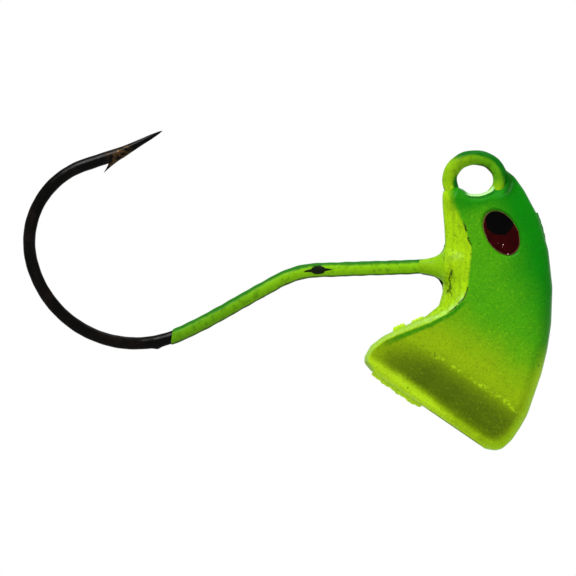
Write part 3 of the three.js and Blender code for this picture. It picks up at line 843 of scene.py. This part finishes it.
top_line = TOP_REAR[1] - (flat_points[..., 0] - TOP_REAR[0]) * TOP_UP[0] / TOP_UP[1]
bore = np.sqrt(np.clip(1 - (flat_points[..., 0] / HOLE[0]) ** 2, 0, 1))
down = (TOP_REAR - flat_points) @ TOP_UP
nub = 0.12 * np.exp(-((flat_points[..., 0] + 0.95) / 0.28) ** 2)
dip = np.maximum(top_line + HOLE[1] * bore - nub, 0) * (bore > 0)
past_bore = smoothstep(flat_points[..., 0], HOLE[0] - 0.1, HOLE[0] + 0.65)
dip = np.where(flat_points[..., 0] > HOLE[0] - 0.1, 0.85 * (1 - past_bore), dip)
head_points = flat_points.copy()
head_points[..., 1] -= dip * (1 - smoothstep(down, 0.0, DIP_REACH))
x, z = head_points[..., 0], head_points[..., 1]
print("deepest dip mm:", round(dip.max(), 2))

# %% [markdown]
# Now the distances, and the half-thickness from them. The plateau falls to a narrow land along the
# rear edge, down the bevel. The front, the top and the foot end in round edges of their own widths.

# %% Head thickness
LAND = 0.5
LAND_BY_SHANK = 0.45
SHANK_AXIS_Z = -6.93


def distance_to(points, line):
    """Shortest distance from each point to a polyline: the least, over its segments, of the length
    of the point's offset from its foot on the segment."""
    nearest = np.full(points.shape[:-1], np.inf)
    for start, end in zip(line[:-1:4], line[4::4]):
        span = end - start
        share = np.clip((points - start) @ span / (span @ span), 0, 1)
        gap = points - start - share[..., None] * span
        nearest = np.minimum(nearest, np.hypot(gap[..., 0], gap[..., 1]))
    return nearest


def rounded(distance, width, nose):
    """The share of the thickness left near an edge: sqrt(1 - (1 - nose^2) (1 - d/w)^2), a quarter
    ellipse from 1 at width down to nose at the edge."""
    left = 1 - np.clip(distance / width, 0, 1)
    return np.sqrt(1 - (1 - nose ** 2) * left ** 2)


def lower_of(a, b, blend):
    """The lower of two heights, with the corner between them rounded: (a + b - |a - b|) / 2, where
    the absolute value is sqrt((a - b)^2 + blend)."""
    return (a + b - np.sqrt((a - b) ** 2 + blend)) / 2


ahead_of_rear = x > np.interp(-z, -plain_rear[:, 1], plain_rear[:, 0])
rear = distance_to(head_points, plain_rear) * np.where(ahead_of_rear, 1, -1)
front = distance_to(flat_points, front_line)
up = (head_points - FOOT_REAR) @ FOOT_UP
along = (head_points - FOOT_REAR) @ FOOT_AXIS
bevel_width = graph(BEVEL, -z, 0.3)
plateau = flank(head_points)
land = LAND + LAND_BY_SHANK * np.exp(-((z + 7) / 1.3) ** 2)
slope = land + (plateau - land) * np.maximum(rear, 0) / bevel_width
half = lower_of(plateau, slope, 0.006)
half *= rounded(front, 1.3, 0.35) * closing(front, 0.25)
half *= rounded(down, 1.0, 0.45)
half *= closing(down, 0.2 + 0.22 * smoothstep(dip, 0.0, 0.3))
by_shank = np.exp(-((z - SHANK_AXIS_Z) / 0.9) ** 2)
half *= closing(rear, 0.12 + 0.55 * by_shank)
half *= closing(up, 0.18)
print("thickest place mm:", round(2 * half.max(), 2))

# %% [markdown]
# Two places depart from the wedge. Beside the ring the lead is a thin web, sagging towards the
# shoulder in front. At the rear a collar swells round the shank, a cone with hollow sides. High
# powers blend the collar in: (a^8 + b^8)^(1/8) is nearly the larger of the two, without a crease.

# %% Web and collar
COLLAR_END = -4.55
ring_gap = np.abs(np.hypot(x / RING[0], z / RING[1]) - 1) * 1.9
web = 0.26 + 0.75 * np.clip(ring_gap - 0.35, 0, None) + 0.5 * np.clip(-z - 0.2, 0, None)
web_share = smoothstep(z, -1.6, -0.8) * smoothstep(x, 0.5, 1.2)
half = half * (1 - web_share) + lower_of(half, web, 0.02) * web_share

spread = (np.clip(x + 4.5, 0, 2) / 2) ** 2
collar_r = 0.60 + 0.92 * (1 - np.sqrt(np.clip(1 - spread, 0, 1)))
collar = np.sqrt(np.clip(collar_r ** 2 - (z - SHANK_AXIS_Z) ** 2, 0, None))
collar = collar * closing(x - COLLAR_END, 0.10) * (x < -0.8)
half = (np.clip(half, 0, None) ** 8 + collar ** 8) ** (1 / 8)
print("collar thickness mm:", round(2 * collar.max(), 2))

# %% [markdown]
# A head poured by hand is never quite flat. Three long waves dent it by a few hundredths, and below
# the shank the lead folded as it cooled. Sine waves are enough here, as the light only has to move.

# %% Dents and folds
dents = 0.018 * np.sin(1.3 * x + 0.9 * z) + 0.014 * np.sin(2.1 * z - 1.7 * x + 1)
dents = dents + 0.008 * np.sin(4.3 * x + 3.1 * z + 2)
below_shank = smoothstep(-z, 7.6, 8.6) * (1 - smoothstep(-z, 11.6, 12.6))
below_shank = below_shank * smoothstep(bevel_width - rear, 0.1, 0.5)
folds = 0.05 * np.sin(9 * (rear + 0.25 * np.sin(2.2 * z))) + 0.03 * np.sin(15 * rear + 3 * z)
quiet_at_edges = np.clip(half / 0.6, 0, 1)
half = half + (dents + folds * below_shank) * quiet_at_edges
print("deepest dent mm:", round(-dents.min(), 3))

# %% [markdown]
# Each eye sits in a shallow oval socket that leans back, moulded into the lead. A boolean could cut
# it, but its rim would be ragged on this grid. Instead an oval distance, 1 at the rim, is taken off
# the height map with a short ramp. The print shows how far the socket is from the CAD eye.

# %% Eye sockets
eye_low = np.minimum(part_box("left_eye_iris")[0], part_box("left_eye_pupil")[0])
eye_high = np.maximum(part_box("left_eye_iris")[1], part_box("left_eye_pupil")[1])
eye_middle = (eye_low + eye_high) / 2 / MM
EYE = {"x": 2.08, "z": -4.24, "major": 2.0, "minor": 1.32, "lean": np.radians(31)}
SOCKET_DEPTH = 0.17
eye_gap = np.hypot(EYE["x"] - eye_middle[0], EYE["z"] - eye_middle[2])
print("the socket is", round(eye_gap, 3), "mm from the middle of the CAD eye")


def in_oval(x, z):
    """Offsets from the oval's centre, turned by its lean and divided by its half-axes, so that its
    rim is the unit circle."""
    cos, sin = np.cos(EYE["lean"]), np.sin(EYE["lean"])
    return (x * cos + z * sin) / EYE["minor"], (z * cos - x * sin) / EYE["major"]


eye_reach = np.hypot(*in_oval(x - EYE["x"], z - EYE["z"]))
half = half - SOCKET_DEPTH * (1 - smoothstep(eye_reach, 1.0, 1.07))
half = np.clip(half, 0, None)
half[[0, -1]] = 0
half[:, [0, -1]] = 0
print("points in a socket:", int((eye_reach < 1).sum()))

# %% [markdown]
# The skin is that height map on both sides. The two sheets share the vertices of the outline, where
# the half-thickness is 0, so the solid is closed. A mirror modifier would need its
# middle vertices merged, and that can leave slits where the thickness isn't quite 0.

# %% Head skin
def both_sides(values):
    """A field over the grid, followed by its inner values again for the far side."""
    return np.concatenate([values.ravel(), values[1:-1, 1:-1].ravel()])


def sheet_faces(index):
    """Quads of a grid of vertex numbers."""
    return np.stack([index[:-1, :-1], index[:-1, 1:], index[1:, 1:], index[1:, :-1]], axis=-1)


def lens_mesh(points, half):
    """A closed solid from a grid of XZ points: (x, -half, z) on one side and (x, +half, z) on the
    other, with the far side's quads turned round."""
    rows, columns = half.shape
    y = np.concatenate([-half.ravel(), half[1:-1, 1:-1].ravel()])
    vertices = np.stack([both_sides(points[..., 0]), y, both_sides(points[..., 1])], axis=-1)
    near = np.arange(rows * columns).reshape(rows, columns)
    far = near.copy()
    far[1:-1, 1:-1] = near.size + np.arange((rows - 2) * (columns - 2)).reshape(rows - 2, -1)
    quads = np.concatenate([sheet_faces(near), sheet_faces(far)[..., ::-1]])
    return vertices, quads.reshape(-1, 4).tolist()


collar_share = smoothstep(-rear, -0.25, 0.15)
fields = {
    "crest": rear - bevel_width, "front": front, "up": up, "along": along, "down": down,
    "edge": np.minimum(up, rear + 8 * collar_share) + dip, "collar": collar_share,
    "lip": (np.hypot(x / HOLE[0], z / HOLE[1]) - 1) * 1.25,
    "web": web_share * smoothstep(ring_gap, 0.35, 0.6) * (1 - smoothstep(ring_gap, 0.7, 1.4)),
}
fields = {name: both_sides(values) for name, values in fields.items()}
vertices, faces = lens_mesh(head_points, half)
piece("head_skin", vertices, faces, head_paint, ["head_paint"], fields)

# %% [markdown]
# Paint on the ring and the shank is a sleeve over the wire, a little uneven, and closed over the
# wire at both ends. Both sleeves go into the lead, where the head's own paint takes over. The
# shank's ends before the bend, cut at a slant, and it has a bare spot where a clip held the hook in
# the oven. Thickening the wire itself would be easier, but then paint and steel would be one piece.

# %% Sleeves of paint
SHANK_COAT_R = 0.58
RING_COAT_R = 0.595
SLEEVE_AROUND = 48
NO_SPOT = (9.0, 9.0)


def sleeve(name, start, end, radius, finish, stands_for, sky, slant, spot):
    """A tube of paint over the wire between two distances back from the tip: radius plus two small
    waves, drawn in over the bare spot and at the ends. sky is the direction the green spray came
    from, slant is how far the end leans, and spot is the XZ place that stayed bare."""
    along, points = wire_stations(start, end, 0.05)
    centre, side, ahead = in_plane(points)
    around = np.linspace(0, 2 * np.pi, SLEEVE_AROUND, endpoint=False)
    wave = 0.012 * np.sin(2.3 * along)[:, None] * np.sin(around + along[:, None])
    wave = wave + 0.010 * np.sin(5.1 * along[:, None] + 2 * around)
    taper = closing(along - along[0], 0.12)[:, None] * closing(along[-1] - along, 0.2)[:, None]
    size = (radius + wave) * (0.87 + 0.13 * taper)
    from_spot = (points[:, 0] - spot[0])[:, None]
    blob = 1 - np.hypot(from_spot / 0.75, np.sin(around) / 0.85)
    scratch = 1 - np.hypot(from_spot / 1.5, np.sin(around) / 0.28)
    bare = np.clip(np.maximum(blob, scratch), 0, 1) * (np.cos(around) < 0)
    bare = bare * (np.abs(points[:, 1] - spot[1]) < 1)[:, None]
    size = size - 0.05 * smoothstep(bare, 0.1, 0.5)
    vertices = tube_points(centre, side, size * np.sin(around), size * np.cos(around))
    skew = slant * smoothstep(along, along[-1] - 1.2, along[-1])[:, None] * np.sin(around)
    vertices[:-2] += (ahead[:, None] * skew[..., None]).reshape(-1, 3)
    facing = (side @ np.array(sky))[:, None] * np.sin(around)
    fields = {"facing": np.append(facing, [0.0, 0.0]), "bare": np.append(bare, [0.0, 0.0])}
    piece(name, vertices, tube_faces(*size.shape), finish, [stands_for], fields)


sleeve(
    "shank_coat", back_from_tip([-3.2, -6.9]), back_from_tip([-24.5, -11.9]), SHANK_COAT_R, shank_paint,
    "shank_paint", sky=(-0.25, 0.0, 0.95), slant=0.25, spot=(-12.57, -7.2),
)
ring_start = wire_length - np.interp(np.radians(-70), ring_angle, wire_along[:RING_STATIONS])
ring_end = wire_length - wire_along[RING_STATIONS - 1] - 1.6
sleeve(
    "ring_coat", ring_start, ring_end, RING_COAT_R, ring_paint,
    "ring_paint", sky=(0.6, 0.0, 0.8), slant=0.0, spot=NO_SPOT,
)

# %% [markdown]
# The eyes are dabs of thick paint in their sockets: a dark red oval, and a black pupil that fills
# its top. A dab is a tube whose rings all lie over one spot: they grow outwards over the domed
# face, then shrink again underneath. A flattened sphere would do for a round eye, but not for a
# wobbly rim that has to stay inside the oval.

# %% Eye shapes
PUPIL = {"x": 1.94, "z": -3.26, "r": 1.18}
EYE_TURNS = np.linspace(0, 2 * np.pi, 120, endpoint=False)
EYE_RINGS = np.linspace(0.02, 1, 28)


def reach_to_oval(centre, share):
    """Distance t in each direction from a point in the oval to its rim, shrunk to a share: the
    root of a t^2 + 2 b t + c = 0, where the point has moved t along the direction."""
    u, v = in_oval(np.cos(EYE_TURNS), np.sin(EYE_TURNS))
    u0, v0 = in_oval(centre[0] - EYE["x"], centre[1] - EYE["z"])
    a = u * u + v * v
    b = u * u0 + v * v0
    c = u0 * u0 + v0 * v0 - share ** 2
    return (np.sqrt(b * b - a * c) - b) / a


def dab(centre, reach, sign, low, high):
    """A closed disc over the flank: rings at shares of reach round the centre, at flank + low
    underneath and flank + low + dome on top, with the sign choosing the side of the head."""
    x = centre[0] + EYE_RINGS[:, None] * reach * np.cos(EYE_TURNS)
    z = centre[1] + EYE_RINGS[:, None] * reach * np.sin(EYE_TURNS)
    surface = flank(np.stack([x, z], axis=-1))
    dome = closing(1 - EYE_RINGS, 0.10)[:, None] * (high - low)
    outer = np.stack([x, sign * (surface + low + dome), z], axis=-1)
    inner = np.stack([x, sign * (surface + low), z], axis=-1)[::-1][1:]
    rings = np.concatenate([outer, inner])
    vertices = np.concatenate([rings.reshape(-1, 3), rings[[0, -1]].mean(axis=1)])
    field = np.concatenate([EYE_RINGS, EYE_RINGS[::-1][1:]]).repeat(len(EYE_TURNS))
    return vertices, tube_faces(*rings.shape[:2]), {"reach": np.append(field, [0.0, 0.0])}


wobble = np.sin(5 * EYE_TURNS + 1) + 0.7 * np.sin(9 * EYE_TURNS) + 0.5 * np.sin(14 * EYE_TURNS)
iris_centre = (EYE["x"], EYE["z"])
pupil_centre = (PUPIL["x"], PUPIL["z"])
iris_reach = reach_to_oval(iris_centre, 0.985) + 0.012 * wobble
pupil_reach = np.minimum(PUPIL["r"] + 0.03 * wobble, reach_to_oval(pupil_centre, 0.955))
print("iris reaches mm:", iris_reach.min().round(2), "to", iris_reach.max().round(2))

# %% [markdown]
# Both colours are glossy, with a slow cloud in them, and the red has a brown line where it meets
# the green and a few pale specks, which are painted highlights. One finish function makes both.

# %% Eyes
def eye_finish(name, colour, rim, dots):
    """A glossy dab: the colour clouded up to 1.6 times, a frayed rim, and dots for its pale specks,
    which are painted highlights.
    """
    f = Finish(name)
    reach = f.plus(f.field("reach"), f.times(f.ragged(2.5, 4.0, 0.55), 0.10))
    cloud = f.noise(1.5, 3.0)
    brighter = tuple(1.6 * value for value in colour[:3]) + (1,)
    mixed = f.mix(f.step(cloud, 0.35, 0.75), colour, brighter)
    mixed = f.mix(f.step(reach, 0.93, 0.965), mixed, rim)
    # Painted highlights: pale specks scattered over the dab, wherever dots is above 0.
    speck = f.times(f.math("LESS_THAN", f.cells(2.3, (5, 2, 1)), 0.11), dots)
    mixed = f.mix(speck, mixed, (0.75, 0.5, 0.5, 1))
    return f.look(
        Base_Color=mixed, Roughness=f.plus(f.times(cloud, 0.15), 0.18),
        Specular_IOR_Level=GLINT / 2, Normal=f.bump(cloud, 0.03),
    )


iris_paint = eye_finish("eye_red", (0.022, 0.0003, 0.0006, 1), (0.20, 0.10, 0.05, 1), 1.0)
pupil_paint = eye_finish("eye_black", (0.0006, 0.0006, 0.0006, 1), (0.002, 0.001, 0.001, 1), 0.0)
for side_name, sign in (("left", 1), ("right", -1)):
    vertices, faces, fields = dab(iris_centre, iris_reach, sign, -0.26, -0.10)
    iris_node = side_name + "_eye_iris"
    piece(side_name + "_iris", vertices, faces, iris_paint, [iris_node], fields)
    vertices, faces, fields = dab(pupil_centre, pupil_reach, sign, -0.24, -0.07)
    pupil_node = side_name + "_eye_pupil"
    piece(side_name + "_pupil", vertices, faces, pupil_paint, [pupil_node], fields)

# %% [markdown]
# Where the mould's halves met, thin fins of lead squeezed out and were painted over. They run on
# the middle plane: along the rear of the foot, by the top of the front, and as two flakes on the
# lobe. Each is a ribbon of lens section with a jagged outer edge, half sunk in the head. Displacing
# the head's own edge would be too coarse, because the fins are thinner than the gaps in its grid.

# %% Parting flash
FLASHES = [
    ([(-8.2, -15.35), (-7.75, -15.72), (-6.4, -16.65), (-5.3, -17.42), (-4.3, -18.1)], -1, 0.30, 0.07),
    ([(4.95, -2.6), (5.35, -3.8), (5.62, -4.9)], 1, 0.10, 0.05),
    ([(-4.1, -10.96), (-4.6, -11.2), (-5.1, -11.42)], -1, 0.16, 0.06),
    ([(-5.55, -11.62), (-6.0, -11.83), (-6.55, -12.1)], -1, 0.30, 0.06),
]
SUNK = 0.25
LENS = np.linspace(0, 2 * np.pi, 20, endpoint=False)


def fin(line, direction, proud, thick):
    """A ribbon along a line: a lens from SUNK inside to proud * jagged outside, where jagged is
    0.75 plus waves and a little chance. direction is the side of the line it grows on."""
    points = curve_through(line, 0.05, 0.15)
    centre, side, _ = in_plane(points)
    share = np.linspace(0, 1, len(points))
    jagged = 0.75 + 0.25 * np.sin(4 * share * np.pi + 1) * np.sin(11 * share + 2)
    jagged = jagged + 0.08 * np.sin(61 * share) + 0.03 * rng.standard_normal(len(points))
    tapered = closing(share, 0.15) * closing(1 - share, 0.3) * 0.96 + 0.04
    reach = proud * np.clip(jagged, 0.15, 1.3) * tapered
    middle = direction * (reach - SUNK) / 2
    wide = (reach + SUNK) / 2
    rise = middle[:, None] + wide[:, None] * np.sin(LENS)
    across = (thick * tapered)[:, None] * np.cos(LENS)
    return tube_points(centre, side, rise, across)


def flash_finish():
    """Bright yellow-green, lighter than the head's lime as painted highlight and mottled by grain
    between two limes, and green by the front.
    """
    f = Finish("flash_paint")
    grain = f.noise(3.0, 4.0)
    # Painted highlight: both limes are brighter than the head's paint, so the fins show as light.
    colour = f.mix(f.step(grain, 0.3, 0.7), LIGHT_LIME, (0.68, 0.95, 0.03, 1))
    colour = f.mix(f.step(f.axis("X"), 0.0, 2.0), colour, GREEN)
    return f.look(
        Base_Color=colour, Roughness=f.plus(f.times(grain, 0.2), 0.25),
        Specular_IOR_Level=0.2, Normal=f.bump(grain, 0.03),
    )


fins = [fin(*flash) for flash in FLASHES]
firsts = np.cumsum([0] + [len(points) for points in fins])
stations = [(len(points) - 2) // len(LENS) for points in fins]
faces = sum((tube_faces(n, len(LENS), first) for n, first in zip(stations, firsts)), [])
piece("parting_flash", np.concatenate(fins), faces, flash_finish())

# %% [markdown]
# Inside the skin is the lead itself. It hardly shows: the paint covers it all over. It is the same
# height map, drawn in towards its middle so that it stays under the paint. Solidify could make the
# paint a true shell round it, but the walls would cross at the sharp edges.

# %% Lead core
CORE_MIDDLE = np.array([-0.5, -10.0])
CORE_SIZE = 0.97
CORE_THICKNESS = 0.8


def lead_finish():
    """Dull cast lead, mottled, with a fine grain."""
    f = Finish("lead")
    grain = f.noise(4.0, 5.0, 0.6)
    colour = f.mix(f.noise(0.6, 3.0), (0.16, 0.17, 0.19, 1), (0.30, 0.31, 0.33, 1))
    return f.look(
        Base_Color=colour, Roughness=f.plus(f.times(grain, 0.25), 0.45), Metallic=0.7,
        Normal=f.bump(grain, 0.03),
    )


core_points = CORE_MIDDLE + CORE_SIZE * (head_points[::2, ::2] - CORE_MIDDLE)
core_half = CORE_THICKNESS * half[::2, ::2]
core_half[[0, -1]] = 0
core_half[:, [0, -1]] = 0
vertices, faces = lens_mesh(core_points, core_half)
piece("lead_core", vertices, faces, lead_finish(), ["lead_head"])

# %% [markdown]
# The light is a white tent, as small goods are shown in: bright near the horizon, so that the
# background is white, and softer above and below. A softbox high up on the near side, towards the
# hook, models the scoop and the bevel, and a wide one overhead fills in. One lamp alone would leave
# the underside black.

# %% Softboxes
def area_light(name, place, size, watts):
    """A square softbox aimed at the middle of the part."""
    data = bpy.data.lights.new(name, "AREA")
    data.size = size
    data.energy = watts
    light = bpy.data.objects.new(name, data)
    light.location = place
    aim = (cad_low + cad_high) / 2 - Vector(place)
    light.rotation_euler = aim.to_track_quat("-Z", "Y").to_euler()
    bpy.context.scene.collection.objects.link(light)
    print(name, "at", round(aim.length / MM), "mm,", watts, "W")


area_light("key", (-0.20, -0.26, 0.42), 0.16, 1.9)
area_light("overhead", (0.08, 0.02, 0.5), 0.30, 0.9)

# %% [markdown]
# The tent is the world itself. Its brightness depends only on how steeply a ray goes up or down,
# which is the size of the direction's Z. An environment texture would do, but it is one more file.

# %% Tent
HORIZON, CEILING = 1.0, 0.60
world = bpy.data.worlds.new("tent")
world.use_nodes = True
bpy.context.scene.world = world
tree = world.node_tree
direction = tree.nodes.new("ShaderNodeTexCoord")
parts = tree.nodes.new("ShaderNodeSeparateXYZ")
tree.links.new(direction.outputs["Generated"], parts.inputs[0])
steepness = tree.nodes.new("ShaderNodeMath")
steepness.operation = "ABSOLUTE"
tree.links.new(parts.outputs["Z"], steepness.inputs[0])
level = tree.nodes.new("ShaderNodeMapRange")
level.interpolation_type = "SMOOTHSTEP"
level.inputs["From Min"].default_value = 0.10
level.inputs["From Max"].default_value = 0.26
level.inputs["To Min"].default_value = HORIZON
level.inputs["To Max"].default_value = CEILING
tree.links.new(steepness.outputs[0], level.inputs["Value"])
tree.links.new(level.outputs["Result"], tree.nodes["Background"].inputs["Strength"])
tree.nodes["Background"].inputs["Color"].default_value = (1, 1, 1, 1)
bpy.context.scene.view_settings.view_transform = "Standard"
print("tent brightness:", HORIZON, "at the horizon,", CEILING, "above")

# %% [markdown]
# The jig hangs free, as on its line, with a wide round sheet of pale paper well below it. The sheet
# belongs to the stage and not to the object.

# %% Floor
FLOOR_Z = -0.30
FLOOR_R = 3.0
turns = np.linspace(0, 2 * np.pi, 96, endpoint=False)
edge = np.stack([FLOOR_R * np.cos(turns), FLOOR_R * np.sin(turns), np.full(96, FLOOR_Z)], axis=1)
floor_mesh = bpy.data.meshes.new("floor")
floor_mesh.from_pydata(edge.tolist(), [], [list(range(96))])
floor = bpy.data.objects.new("floor", floor_mesh)
bpy.context.scene.collection.objects.link(floor)
paper = Finish("floor_paper")
paper_colour = paper.mix(paper.noise(0.02, 3.0), (0.80, 0.80, 0.79, 1), (0.84, 0.84, 0.83, 1))
floor_mesh.materials.append(paper.look(Base_Color=paper_colour, Roughness=0.8))
print("floor is", round(-FLOOR_Z / MM), "mm below the ring")

# %% [markdown]
# The finished model is meant to be the CAD part's size. The CAD box is printed again here, and each
# piece printed its own box when it was made.

# %% Sizes
print("CAD box in mm:   ", box_text(cad_low, cad_high))
